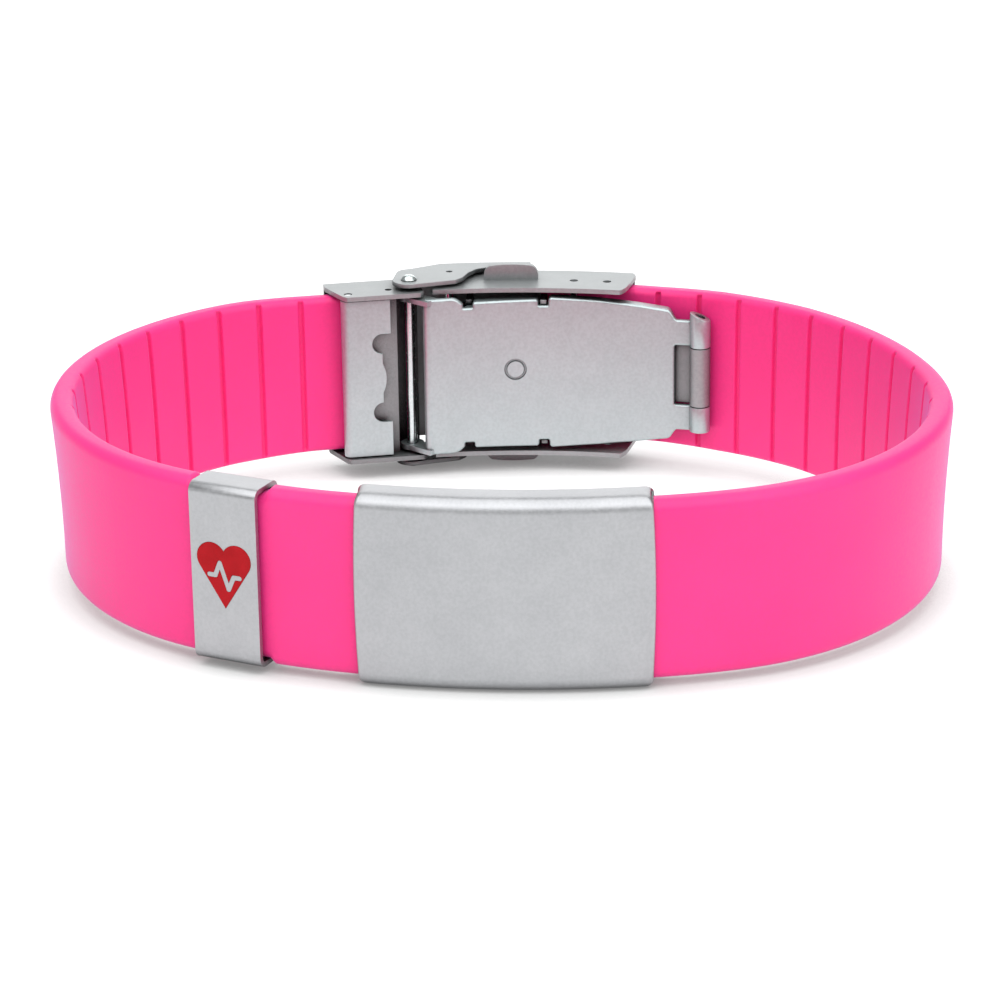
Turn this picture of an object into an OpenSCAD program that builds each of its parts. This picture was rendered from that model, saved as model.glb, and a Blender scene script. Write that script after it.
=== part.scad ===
// Bracelet with a soft ribbed strap, a curved plate at the front, an emblem slider
// and a steel folding clasp with a flip lock at the back. All sizes in millimetres.
// The loop stands on edge: X runs along its long side, the plate faces -Y, Z is up.

/* [Strap] */
// width of the strap, from edge to edge
strap_w = 16; // [14:0.5:18]
// thickness of the strap between its grooves
strap_t = 2.2; // [1.9:0.1:2.4]
// rounding of the strap's long edges
strap_round = 0.7; // [0.4:0.1:0.8]
// how far the strap's upper edge leans out at the two sides of the loop
strap_lean = 0.75; // [0:0.25:1]
// width of the loop, side to side, on the strap's middle line
loop_width = 77.7; // [74:1:90]
// depth of the loop, plate to clasp, on the strap's middle line
loop_depth = 59.8; // [57:1:68]
// radius of the loop's two sides
side_r = 25.4; // [24:0.5:27]
// radius of the strap's front stretch, under the plate
front_r = 61.5; // [56:1:70]
// distance from one groove to the next
groove_pitch = 4.357; // [3.8:0.05:5]
// width of a groove at its mouth
groove_w = 0.7; // [0.5:0.05:0.9]
// depth of a groove
groove_depth = 0.45; // [0.3:0.05:0.55]

/* [Plate] */
// length of the plate at its middle
plate_length = 25.3; // [18:0.5:30]
// sheet thickness of the plate
plate_sheet = 0.5; // [0.4:0.05:0.6]
// rounding of the plate's long front edges
plate_round = 0.8; // [0.55:0.05:0.9]
// how far the lips reach over the strap's back
lip_w = 1.4; // [0.8:0.1:2.5]

/* [Slider] */
// length of the slider along the strap
slider_length = 6.4; // [6.2:0.2:8]
// sheet thickness of the slider
slider_sheet = 0.45; // [0.35:0.05:0.5]
// free strap between the plate and the slider
slider_gap = 7.9; // [2:0.5:12]
// width of the enamel heart
heart_w = 5.2; // [4:0.2:5.2]
// depth of the recess for the enamel
recess = 0.25; // [0.15:0.05:0.3]

/* [Clasp] */
// sheet thickness of the clamp, cover and flip lock
sheet = 0.45; // [0.4:0.05:0.5]
// radius of the pin that carries the blade and the flip lock
catch_r = 0.5; // [0.4:0.05:0.55]
// radius of the pin under the flap
flap_pin_r = 0.35; // [0.25:0.05:0.4]
// running clearance of pins in their holes
pin_gap = 0.05; // [0.03:0.01:0.08]
// height of the grip tabs on the cover
tab_h = 1.55; // [1:0.05:1.8]

/* [Hidden] */
$fn = 96;
e = 0.01;

// heights, measured from the middle line of the strap
hs = strap_w / 2;
plate_clear = 0.1;
plate_half = hs + plate_clear + plate_sheet;
// the slider pinches the strap's edges by this much, and keeps this clearance
pinch = 0.5;
slider_clear = 0.05;
slider_half = hs - pinch + slider_clear + slider_sheet;
clamp_in = hs + 0.07;
clamp_out = clamp_in + sheet;
cover_in = hs + 0.12;
cover_out = cover_in + sheet;
arm_in = cover_out + 0.28;
arm_out = arm_in + sheet;
dome_h = 0.5;
flap_half = hs - 0.04;
ear_in = hs - 0.65;
ear_out = hs - 0.17;

// the plate and both lower grip tabs touch the ground, so the clasp is a little higher
plate_z = plate_half;
clasp_z = cover_out + tab_h;

// slack of the strap in each sleeve, outward of the strap
plate_slack = 0.08;
cover_slack = 0.25;
lock_slack = 0.1;

// plan of the loop: the plate's middle sits a little right of the loop's middle
plate_offset = 2.16;
front_x = plate_offset;
front_y = -(loop_depth + cover_slack + 2 * sheet + lock_slack - plate_slack - plate_sheet) / 2;
right_reach = loop_width / 2 - plate_offset;
left_reach = loop_width / 2 + plate_offset;

// the clasp is drawn about the crown, the strap's middle line at the cover's highest point
crown = [front_x - 0.5, front_y + loop_depth];
crown_r = 55.5;
catch = [-12.2, -4.2];
cover_pin = [-8.5, -1.2];
clamp_turn = 14.5;
// the strap lies this far outward of the catch pin, and ends this far to its left
strap_over_catch = 1.43;
strap_stop = 1.9;

function arc_end(p, r, a) = [
    p[0] + r * (sin(p[2] + a) - sin(p[2])),
    p[1] + r * (cos(p[2]) - cos(p[2] + a)),
    p[2] + a
];
function run_end(p, d) = [p[0] + d * cos(p[2]), p[1] + d * sin(p[2]), p[2]];
function arc_len(row) = row[RADIUS] * row[TURN] * PI / 180;
function row_len(row) = arc_len(row) + row[RUN];
function total(rows, i = 0) = i == len(rows) ? 0 : row_len(rows[i]) + total(rows, i + 1);
function along(p, rows, s, i = 0) =
    s <= arc_len(rows[i]) ? arc_end(p, rows[i][RADIUS], s / rows[i][RADIUS] * 180 / PI)
    : s <= row_len(rows[i]) || i == len(rows) - 1
        ? run_end(arc_end(p, rows[i][RADIUS], rows[i][TURN]), s - arc_len(rows[i]))
    : along(run_end(arc_end(p, rows[i][RADIUS], rows[i][TURN]), rows[i][RUN]), rows,
            s - row_len(rows[i]), i + 1);
function mirrored(p) = [-p[0], p[1], 360 - p[2]];
function inward(p) = [-sin(p[2]), cos(p[2])];
function turned(v, a) = [v[0] * cos(a) - v[1] * sin(a), v[0] * sin(a) + v[1] * cos(a)];

// middle line of the strap: arcs from the front centre to each end
// each row: radius, turn in degrees, straight run after the arc
RADIUS = 0;
TURN = 1;
RUN = 2;
front_turn_right = asin((right_reach - side_r) / (front_r - side_r));
front_turn_left = asin((left_reach - side_r) / (front_r - side_r));

// right side: the closing arc joins the side to the crown's own arc, crown_turn right of the crown
crown_turn = 8;
// the strap ends this many degrees short of the crown
strap_short = 0.5;
right_base = arc_end([front_x, front_y, 0], front_r, front_turn_right);
side_centre = [right_base[0], right_base[1]] + side_r * inward(right_base);
crown_in = [-sin(crown_turn), -cos(crown_turn)];
crown_join = crown + crown_r * ([0, -1] - crown_in);
to_join = crown_join - side_centre;
right_close = (side_r * side_r - to_join * to_join) / (2 * (to_join * crown_in + side_r));
close_off = side_centre - crown_join - right_close * crown_in;
side_heading = atan2(close_off[0], -close_off[1]);
right_side = [
    [front_r, front_turn_right, 0],
    [side_r, side_heading - front_turn_right, 0],
    [right_close, 180 - crown_turn - side_heading, 0],
    [crown_r, crown_turn - strap_short, 0]
];

// left side, seen in a mirror: the closing arc runs into the straight stretch in the clamp
side_turn_left = 45;
clamp_line = crown + catch + turned([-strap_stop, strap_over_catch], clamp_turn);
left_open = arc_end(arc_end([-front_x, front_y, 0], front_r, front_turn_left), side_r,
    side_turn_left);
left_off = [-clamp_line[0], clamp_line[1]] - [left_open[0], left_open[1]];
line_in = inward([0, 0, 180 - clamp_turn]);
left_close_turn = 180 - clamp_turn - left_open[2];
left_close = -(left_off * line_in) / (1 - cos(left_close_turn));
left_end = arc_end(left_open, left_close, left_close_turn);
left_side = [
    [front_r, front_turn_left, 0],
    [side_r, side_turn_left, 0],
    [left_close, left_close_turn, norm([-clamp_line[0], clamp_line[1]] - [left_end[0], left_end[1]])]
];

// place on the middle line: negative lengths run along the left side
function place(s) = s >= 0 ? along([front_x, front_y, 0], right_side, s)
    : mirrored(along([-front_x, front_y, 0], left_side, -s));

right_len = total(right_side);
left_len = total(left_side);

// hinge of the two blades: its knuckle lies just inside the strap, this far back from the strap's end
knuckle_wall = 0.5;
knuckle_gap = 0.15;
hinge_back = 17.0;
hinge_pin_r = 0.45;
knuckle_r = hinge_pin_r + pin_gap + knuckle_wall;
hinge_strap = place(right_len - hinge_back);
hinge = [hinge_strap[0], hinge_strap[1]] - crown
    + (strap_t / 2 + knuckle_gap + knuckle_r) * inward(hinge_strap);

// the strap climbs gently from the plate to the clasp
climb_from = -28;
climb_to = crown[1] - 9;
function height(y) = plate_z + (clasp_z - plate_z)
    * min(1, max(0, (y - climb_from) / (climb_to - climb_from)));

// places along the strap where its section changes
first_groove = -75.9;
groove_count_left = floor((left_len - 8 + first_groove) / groove_pitch);
groove_count_right = floor((right_len - 11 - first_groove) / groove_pitch);
flank = 0.12;
// each groove row: place, depth factor
function groove_stops(c) = [
    [c - groove_w / 2, 0],
    [c - groove_w / 2 + flank, 1],
    [c + groove_w / 2 - flank, 1],
    [c + groove_w / 2, 0],
    [c + groove_pitch / 2, 0]
];
// how far along the groove pattern a place is cut: 0 outside a groove, 1 at its floor
function groove_at(s) =
    let (k = min(groove_count_right, max(-groove_count_left, round((s - first_groove) / groove_pitch))),
         d = abs(s - first_groove - k * groove_pitch))
    min(1, max(0, (groove_w / 2 - d) / flank));
// the slider's place, and the rings where the strap goes into it and comes out
slider_s = -(plate_length / 2 + slider_gap + slider_length / 2);
pinch_from = slider_length / 2 + 0.15;
pinch_ease = 0.5;
pinch_places = [for (d = [pinch_from, pinch_from + pinch_ease], side = [-1, 1]) slider_s + side * d];
function in_order(rows) = len(rows) < 2 ? rows
    : let (middle = rows[floor(len(rows) / 2)][0])
    concat(in_order([for (q = rows) if (q[0] < middle) q]),
        [for (q = rows) if (q[0] == middle) q],
        in_order([for (q = rows) if (q[0] > middle) q]));
end_stops = 4;
last_left = first_groove - groove_count_left * groove_pitch;
last_right = first_groove + groove_count_right * groove_pitch;
stops = in_order(concat(
    [for (s = pinch_places) [s, groove_at(s)]],
    [for (i = [0:end_stops]) [-left_len + i * (left_len + last_left - groove_pitch / 2) / end_stops, 0]],
    [for (k = [-groove_count_left:groove_count_right])
        for (q = groove_stops(first_groove + k * groove_pitch)) q],
    [for (i = [1:end_stops]) [last_right + groove_pitch / 2
        + i * (right_len - last_right - groove_pitch / 2) / end_stops, 0]]
));

// half width of the strap, a little less where its ends go into the clasp and in the slider
end_trim = 0.15;
function half_at(s) = hs - end_trim * max(
    min(1, max(0, (-s - left_len + 14) / 6)),
    min(1, max(0, (s - right_len + 18) / 6)))
    - pinch * min(1, max(0, (pinch_from + pinch_ease - abs(s - slider_s)) / pinch_ease));

// one ring of the strap: outward distance and height, from the outer face round to the inner
function section(h, d, t, r) = [
    [t, -h + r],
    [t, 0.12 * h],
    [t, h - r],
    [t - 0.29 * r, h - 0.29 * r],
    [t - r, h],
    [-t + r, h],
    [-t + 0.29 * r + 0.7 * d, h - 0.29 * r - 0.1 * d],
    [-t + d, h - r],
    [-t + d, 0.12 * h],
    [-t + d, -h + r],
    [-t + 0.29 * r + 0.7 * d, -h + 0.29 * r + 0.1 * d],
    [-t + r, -h],
    [t - r, -h],
    [t - 0.29 * r, -h + 0.29 * r]
];
function ring(stop) =
    let (p = place(stop[0]), nx = sin(p[2]), ny = -cos(p[2]), h = half_at(stop[0]),
         z0 = height(p[1]))
    [for (q = section(h, stop[1] * groove_depth, strap_t / 2, strap_round))
        let (up = (q[1] + h) / (2 * h), o = q[0] + strap_lean * nx * nx * up * up)
        [p[0] + nx * o, p[1] + ny * o, z0 + q[1]]];

module strap_solid() {
    rings = [for (q = stops) ring(q)];
    n = len(rings[0]);
    m = len(rings);
    points = [for (r = rings) for (p = r) p];
    sides = [for (i = [0:m - 2]) for (j = [0:n - 1])
        let (a = i * n + j, b = i * n + (j + 1) % n)
        for (f = [[a, b + n, a + n], [a, b, b + n]]) f];
    start = [for (j = [1:n - 2]) [0, j + 1, j]];
    end = [for (j = [1:n - 2]) [(m - 1) * n, (m - 1) * n + j, (m - 1) * n + j + 1]];
    polyhedron(points = points, faces = concat(sides, start, end), convexity = 10);
}

module strap() {
    color([1, 0.3, 0.6]) strap_solid();
}

// flat shape with rounded corners
module rounded(w, h, r) {
    square([w - 2 * r, h], center = true);
    square([w, h - 2 * r], center = true);
    for (x = [-1, 1], y = [-1, 1]) translate([x * (w / 2 - r), y * (h / 2 - r)]) circle(r);
}

// stands a shape drawn in X and Z upright, so that it runs along Y
module upright(from, to) {
    translate([0, to, 0]) rotate([90, 0, 0]) linear_extrude(height = to - from) children();
}

// sheet between two radii about a centre, over a height range
module curved(centre, r1, r2, z1, z2) {
    translate([centre[0], centre[1], z1]) linear_extrude(height = z2 - z1) difference() {
        circle(r2);
        circle(r1);
    }
}

// plate: a channel bent round the strap's front arc
front_centre = [front_x, front_y + front_r];
plate_in = front_r + strap_t / 2 + plate_slack;
plate_out = plate_in + plate_sheet;
plate_back = front_r - strap_t / 2 - plate_slack;
plate_back_in = plate_back - plate_sheet;
plate_bulge_r = 130;
plate_corner = 0.8;

module plate_profile() {
    h = plate_half;
    q = plate_half - plate_sheet;
    r = plate_round;
    difference() {
        union() {
            translate([plate_back_in, -h]) square([plate_out - r - plate_back_in, 2 * h]);
            translate([plate_back_in, -h + r]) square([plate_out - plate_back_in, 2 * (h - r)]);
            for (s = [-1, 1]) translate([plate_out - r, s * (h - r)]) circle(r);
        }
        difference() {
            translate([plate_back, -q]) square([plate_in - plate_back, 2 * q]);
            for (s = [-1, 1]) difference() {
                translate([plate_in - 0.3, s > 0 ? q - 0.3 : -q]) square([0.4, 0.3]);
                translate([plate_in - 0.3, s * (q - 0.3)]) circle(0.3);
            }
        }
        translate([plate_back_in - 1, -q + lip_w]) square([plate_sheet + 1 + e, 2 * (q - lip_w)]);
    }
}

module plate_outline() {
    intersection() {
        rounded(plate_length, 2 * plate_half, plate_corner);
        translate([plate_bulge_r - plate_length / 2, 0]) circle(plate_bulge_r, $fn = 200);
        translate([plate_length / 2 - plate_bulge_r, 0]) circle(plate_bulge_r, $fn = 200);
    }
}

module id_plate() {
    color([0.78, 0.79, 0.8]) translate([0, 0, plate_z]) intersection() {
        translate([front_centre[0], front_centre[1], 0]) rotate([0, 0, -90 - 20])
            rotate_extrude(angle = 40) plate_profile();
        translate([front_x, 0, 0]) upright(front_y - 8, front_y + 8) plate_outline();
    }
}

// slider: a flat tube on the strap, drawn about its own centre with its face at -Y
slider_place = place(slider_s);
slider_turn = slider_place[2] - 360;
slider_front = strap_t / 2 + 0.45;
slider_edge = 0.42;
slider_depth = 2 * (slider_front + slider_sheet);
heart_h = heart_w * 1.12;
line_w = 0.42;
enamel_gap = 0.02;
enamel_proud = 0.04;

module at_slider() {
    translate([slider_place[0], slider_place[1], height(slider_place[1])])
        rotate([0, 0, slider_turn]) children();
}

// two round lobes and a straight sided tip
module heart(w, h) {
    r = w * 0.27;
    lobe = [w / 2 - r, h / 2 - r];
    tip = [0, -h / 2];
    reach = norm(lobe - tip);
    lean = atan2(lobe[1] - tip[1], lobe[0]) - asin(r / reach);
    touch = tip + sqrt(reach * reach - r * r) * [cos(lean), sin(lean)];
    for (s = [-1, 1]) translate([s * lobe[0], lobe[1]]) circle(r);
    polygon([tip, touch, lobe, [-lobe[0], lobe[1]], [-touch[0], touch[1]]]);
}

// a pulse line inside the heart: level, up, down and level again, as shares of the width
pulse_points = [
    [-0.28, 0],
    [-0.17, 0],
    [-0.08, 0.22],
    [0.07, -0.22],
    [0.17, 0],
    [0.28, 0]
];

module pulse(line) {
    for (i = [0:len(pulse_points) - 2]) {
        p = pulse_points[i] * heart_w;
        q = pulse_points[i + 1] * heart_w;
        translate(p) rotate(atan2(q[1] - p[1], q[0] - p[0])) translate([0, -line / 2])
            square([norm(q - p), line]);
        translate(p) circle(line / 2);
        translate(q) circle(line / 2);
    }
}

module slider() {
    color([0.78, 0.79, 0.8]) at_slider() difference() {
        rotate([90, 0, 90]) translate([0, 0, -slider_length / 2])
            linear_extrude(height = slider_length) difference() {
                rounded(slider_depth, 2 * slider_half, slider_edge);
                square([2 * slider_front, 2 * (slider_half - slider_sheet)], center = true);
            }
        upright(-slider_depth / 2 - 1, -slider_depth / 2 + recess) difference() {
            heart(heart_w + 2 * enamel_gap, heart_h + 2 * enamel_gap);
            pulse(line_w);
        }
    }
}

module enamel() {
    color([0.8, 0.1, 0.15]) at_slider()
        upright(-slider_depth / 2 - enamel_proud, -slider_depth / 2 + recess - enamel_gap) difference() {
            heart(heart_w, heart_h);
            pulse(line_w + 2 * enamel_gap);
        }
}

// clasp: its plan is drawn about the crown, with heights measured from its own middle
module at_clasp() {
    translate([crown[0], crown[1], clasp_z]) children();
}

// centre of a circle through two places, on the wrist's side of them
function wrist_centre(p, q, r) =
    let (d = q - p, l = norm(d))
    (p + q) / 2 + sqrt(r * r - l * l / 4) * [d[1], -d[0]] / l;
function on_circle(centre, r, x) = [x, centre[1] + sqrt(r * r - pow(x - centre[0], 2))];

// clamp box, drawn about the catch pin: X along the strap, Y outward
clamp_near = -2.13;
clamp_slack = 0.08;
clamp_plate_in = strap_over_catch + strap_t / 2 + clamp_slack;
clamp_plate_out = clamp_plate_in + sheet;
clamp_left = -8.0;
clamp_right = 1.15;
clamp_bevel = [1.25, 4.0];
floor_left = -5.2;
floor_right = -1.35;
// the floor falls back from the wrist towards its right end
floor_front = -1.15;
floor_fall = 0.75;
flap_hinge = [-6.15, -0.99];
lock_hole = [-2.1, -0.3];

module at_clamp() {
    translate([catch[0], catch[1], 0]) rotate([0, 0, clamp_turn]) children();
}

module clamp_side() {
    difference() {
        union() {
            polygon([
                [clamp_left, clamp_plate_out],
                [clamp_left, clamp_near + clamp_bevel[1]],
                [clamp_left + clamp_bevel[0], clamp_near + 0.35],
                [clamp_left + clamp_bevel[0] + 0.35, clamp_near],
                [clamp_right - 0.35, clamp_near],
                [clamp_right, clamp_near + 0.35],
                [clamp_right, clamp_plate_out]
            ]);
            circle(catch_r + pin_gap + 0.6);
        }
        circle(catch_r + pin_gap);
        translate(flap_hinge) circle(flap_pin_r + pin_gap);
        translate(lock_hole) circle(0.34);
    }
}

module clamp_box() {
    color([0.78, 0.79, 0.8]) at_clasp() at_clamp() {
        for (z = [clamp_in, -clamp_out]) translate([0, 0, z])
            linear_extrude(height = sheet) clamp_side();
        translate([clamp_left, clamp_plate_in, -clamp_in - e])
            cube([clamp_right - clamp_left, sheet, 2 * (clamp_in + e)]);
        translate([0, 0, -clamp_in - e]) linear_extrude(height = 2 * (clamp_in + e)) polygon([
            [floor_left, floor_front],
            [floor_right, floor_front + floor_fall],
            [floor_right, floor_front + floor_fall + sheet],
            [floor_left, floor_front + sheet]
        ]);
    }
}

// flap: the lid over the strap's end, rolled round its pin at the left
flap_sheet = 0.42;
flap_right = -2.15;
roll_r = flap_pin_r + pin_gap + 0.37;
flap_front = flap_hinge[1] - roll_r;
flap_notch = [-3.0, 4.5];
flap_pocket = 1;
flap_swell = 3.4;

module flap_outline() {
    difference() {
        translate([flap_hinge[0], -flap_half])
            square([flap_right - flap_hinge[0], 2 * flap_half]);
        // thumb notch: two round pockets with a swell between them
        difference() {
            union() {
                translate([flap_notch[0], -flap_notch[1]]) square([2, 2 * flap_notch[1]]);
                for (s = [-1, 1])
                    translate([flap_notch[0], s * (flap_notch[1] - flap_pocket)])
                        circle(flap_pocket);
            }
            translate([flap_notch[0] + 0.35 - flap_swell, 0]) circle(flap_swell);
        }
    }
}

module flap() {
    color([0.8, 0.81, 0.82]) at_clasp() at_clamp() difference() {
        union() {
            upright(flap_front, flap_front + flap_sheet) flap_outline();
            translate([flap_hinge[0], flap_hinge[1], -flap_half])
                cylinder(r = roll_r, h = 2 * flap_half);
        }
        translate([flap_hinge[0], flap_hinge[1], -hs - 1])
            cylinder(r = flap_pin_r + pin_gap, h = 2 * hs + 2);
    }
}

module flap_pin() {
    color([0.7, 0.71, 0.72]) at_clasp() at_clamp()
        translate([flap_hinge[0], flap_hinge[1], -clamp_out + 0.06])
            cylinder(r = flap_pin_r, h = 2 * clamp_out - 0.12);
}

// inner blade: a shallow tray that lies against the wrist, from the catch pin to the hinge
blade_r = 60;
blade_sheet = 0.5;
blade_deep = 1.2;
blade_tip = [-9.9, -6.42];
blade_length = hinge[0] - blade_tip[0];
knuckle_over = 0.16;
blade_centre = wrist_centre(blade_tip, hinge, blade_r + knuckle_over);
// half heights of the neck and of the middle knuckle, and the gap beside it
neck = 0.7 * hs;
middle_knuckle = 0.37 * hs;
side_gap = 0.05;
curl_r = 0.85;
roll_rise = 0.9;
roll_slant = 32;
window_x = hinge[0] - 2.45;
notch_w = 0.95;
notch_half = 0.86 * hs;
// each row: place along the blade and half height, as shares of its length and of hs
AT = 0;
TALL = 1;
tab_rows = [[0, 0.99], [0.083, 0.99], [0.101, 0.958], [0.117, 0.91]];
tray_rows = [
    [0.152, 0.93],
    [0.399, 0.94],
    [0.434, 0.962],
    [0.622, 0.925],
    [0.771, 0.871],
    [0.882, 0.825],
    [0.903, 0.78],
    [0.909, 0.70]
];
notch_at = 0.414;
tray_from = blade_tip[0] + tray_rows[0][AT] * blade_length;
tab_to = blade_tip[0] + tab_rows[3][AT] * blade_length;
notch_x = blade_tip[0] + notch_at * blade_length;

module share_outline(rows, inset) {
    function x(q) = blade_tip[0] + q[AT] * blade_length;
    polygon(concat(
        [for (q = rows) [x(q), q[TALL] * hs - inset]],
        [for (i = [len(rows) - 1:-1:0]) [x(rows[i]), -rows[i][TALL] * hs + inset]]));
}

module both_ends() {
    children();
    mirror([0, 1]) children();
}

module blade_front_outline() {
    difference() {
        union() {
            share_outline(tab_rows, 0);
            translate([tab_to - e, -notch_half]) square([tray_from - tab_to + 2 * e, 2 * notch_half]);
            share_outline(tray_rows, 0);
            translate([window_x - 1, -neck]) square([hinge[0] - window_x + 1, 2 * neck]);
        }
        translate([window_x, -middle_knuckle - side_gap])
            square([4, 2 * (middle_knuckle + side_gap)]);
        both_ends() translate([notch_x - notch_w / 2, notch_half]) square([notch_w, hs]);
    }
}

module blade_wall_outline() {
    difference() {
        share_outline(tray_rows, 0);
        share_outline(tray_rows, blade_sheet);
        both_ends() translate([notch_x - notch_w / 2, notch_half - 1]) square([notch_w, hs]);
    }
}

// ear: a plate from the blade's tab back to the catch pin
module blade_ear() {
    difference() {
        union() {
            translate(catch) circle(catch_r + pin_gap + 0.6);
            translate(catch) rotate(-38) translate([0, -1.0]) square([3.3, 1.7]);
        }
        translate(catch) circle(catch_r + pin_gap);
    }
}

module ring_emboss(r, d) {
    at = blade_tip[0] + 0.309 * blade_length;
    intersection() {
        upright(-hs, 0) translate([at, 0.06 * hs]) circle(r);
        curved(blade_centre, blade_r - 2 * d, blade_r + d, -hs, hs);
    }
}

module inner_blade() {
    curl = on_circle(blade_centre, blade_r + curl_r, blade_tip[0]);
    color([0.78, 0.79, 0.8]) at_clasp() difference() {
        union() {
            // front sheet
            intersection() {
                curved(blade_centre, blade_r, blade_r + blade_sheet, -hs, hs);
                upright(-hs, 0) blade_front_outline();
            }
            // side walls of the tray
            intersection() {
                curved(blade_centre, blade_r + blade_sheet / 2, blade_r + blade_deep, -hs, hs);
                upright(-hs, 0) blade_wall_outline();
            }
            // left end curled back
            translate([curl[0], curl[1], -tab_rows[0][TALL] * hs])
                linear_extrude(height = 2 * tab_rows[0][TALL] * hs) difference() {
                    circle(curl_r);
                    circle(curl_r - blade_sheet);
                    translate([0.25, -2]) square([3, 4]);
                    translate([-3, 0.25]) square([6, 3]);
                }
            for (z = [ear_in, -ear_out]) translate([0, 0, z])
                linear_extrude(height = ear_out - ear_in) blade_ear();
            // rolled knuckles above and below the middle one
            for (z = [middle_knuckle + side_gap, -neck]) translate([hinge[0], hinge[1], z])
                cylinder(r = knuckle_r, h = neck - middle_knuckle - side_gap);
            // slanted end of the upper roll
            translate([hinge[0], hinge[1], neck - e]) intersection() {
                cylinder(r = knuckle_r, h = roll_rise);
                translate([-knuckle_r, 0, roll_rise]) rotate([0, roll_slant, 0])
                    translate([-knuckle_r, -knuckle_r, -4 * knuckle_r])
                        cube([4 * knuckle_r, 2 * knuckle_r, 4 * knuckle_r]);
            }
        }
        translate([hinge[0], hinge[1], -hs]) cylinder(r = hinge_pin_r + pin_gap, h = 2 * hs);
        // room for the middle knuckle
        translate([hinge[0], hinge[1], -middle_knuckle - side_gap])
            cylinder(r = knuckle_r + 0.1, h = 2 * (middle_knuckle + side_gap));
        // pressed ring
        difference() {
            ring_emboss(1.05, 0.12);
            ring_emboss(0.8, 0.3);
        }
    }
}

module hinge_pin() {
    color([0.7, 0.71, 0.72]) at_clasp() translate([hinge[0], hinge[1], -neck + 0.05])
        cylinder(r = hinge_pin_r, h = 2 * neck - 0.1);
}

// cover: a curved channel over the strap's other end, all of it about the crown's centre
cover_centre = [0, -crown_r];
cover_plate_in = crown_r + strap_t / 2 + cover_slack;
cover_plate_out = cover_plate_in + sheet;
cover_near = crown_r - 4.35;
cover_left = -9.8;
cover_right = 9.75;
// the outer plate runs on this far past its sides, towards the clamp
cover_lip = 2.6;
// the right end slants and its corners are rounded; each row: how far in, share of the way down
slant_rows = [[0.6, -0.1], [0.17, 0.03], [0, 0.14], [0.5, 0.55], [0.85, 0.8], [1.25, 0.93], [1.9, 1.03]];
grip_near = crown_r - 1.5;
grip_sheet = 0.6;
cover_pin_r = 0.4;
bar_r = 0.36;
bar_slack = 0.06;
bar_ring = crown_r - strap_t / 2 - bar_slack - bar_r;
bar_x = 3.75;
spare_x = 7.0;

// flat ring about the crown's centre, cut between two places along X
module crown_ring(r1, r2, x1, x2) {
    intersection() {
        translate(cover_centre) difference() {
            circle(r2, $fn = 200);
            circle(r1, $fn = 200);
        }
        translate([x1, -crown_r]) square([x2 - x1, 2 * crown_r]);
    }
}

module cover_end_cut() {
    top = on_circle(cover_centre, cover_plate_out, cover_right)[1];
    foot = on_circle(cover_centre, cover_near, cover_right)[1];
    function down(share) = top + share * (foot - top);
    polygon(concat(
        [for (q = slant_rows) [cover_right - q[0], down(q[1])]],
        [[cover_right + 1, down(1.1)], [cover_right + 1, down(-0.1)]]));
}

module grip_tab() {
    width = 5.3;
    at = -2.42;
    intersection() {
        translate([0, 0, cover_out - sheet / 2]) linear_extrude(height = tab_h + sheet / 2)
            crown_ring(grip_near, grip_near + grip_sheet, at - width, at + width);
        upright(-6, 2) translate([at, cover_out + tab_h / 2 - 1]) intersection() {
            rounded(width, tab_h + 2, 1.1);
            translate([0, 1 + tab_h / 2 - 16]) circle(16);
        }
    }
}

module cover() {
    color([0.78, 0.79, 0.8]) at_clasp() difference() {
        union() {
            for (z = [cover_in, -cover_out]) translate([0, 0, z])
                linear_extrude(height = sheet)
                    crown_ring(cover_near, cover_plate_out, cover_left, cover_right);
            translate([0, 0, -cover_in - e]) linear_extrude(height = 2 * (cover_in + e))
                crown_ring(cover_plate_in, cover_plate_out, cover_left - cover_lip, cover_right);
            grip_tab();
            mirror([0, 0, 1]) grip_tab();
        }
        translate([0, 0, -2 * hs]) linear_extrude(height = 4 * hs) cover_end_cut();
        for (x = [bar_x, spare_x]) translate(on_circle(cover_centre, bar_ring, x))
            translate([0, 0, -2 * hs]) cylinder(r = bar_r + pin_gap, h = 4 * hs);
        translate([cover_pin[0], cover_pin[1], -2 * hs])
            cylinder(r = cover_pin_r + pin_gap, h = 4 * hs);
    }
}

module strap_bar() {
    bar_half = cover_out - 0.32;
    color([0.7, 0.71, 0.72]) at_clasp() translate(on_circle(cover_centre, bar_ring, bar_x))
        translate([0, 0, -bar_half]) cylinder(r = bar_r, h = 2 * bar_half);
}

module cover_hinge_pin() {
    color([0.7, 0.71, 0.72]) at_clasp() translate([cover_pin[0], cover_pin[1], -cover_out])
        cylinder(r = cover_pin_r, h = 2 * cover_out);
}

// outer blade: folded between the inner blade and the strap, hinged at both ends
outer_r = 90;
outer_sheet = 0.5;
outer_knuckle_r = cover_pin_r + pin_gap + 0.45;
outer_centre = wrist_centre(cover_pin - [0, 0.7], hinge + [0, 0.85], outer_r);
stay_half = 0.8 * hs;
lug_w = notch_w - 0.33;
lug_deep = 0.4;
lug_clear = 0.08;
lug_x = [(tab_to + tray_from) / 2, notch_x];
lug_top = notch_half + lug_clear + lug_deep;

module outer_outline() {
    shoulder = hinge[0] - 3.1;
    both_ends() polygon([
        [cover_pin[0], 0],
        [cover_pin[0], stay_half],
        [shoulder - 5.9, stay_half],
        [shoulder - 0.5, 0.86 * stay_half],
        [shoulder, 0.77 * stay_half],
        [shoulder, 0]
    ]);
    translate([shoulder - 1, -middle_knuckle + side_gap / 2])
        square([hinge[0] - shoulder + 1, 2 * middle_knuckle - side_gap]);
    // cross tabs that carry the stop lugs
    for (x = lug_x) translate([x - lug_w / 2, -lug_top]) square([lug_w, 2 * lug_top]);
}

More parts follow.
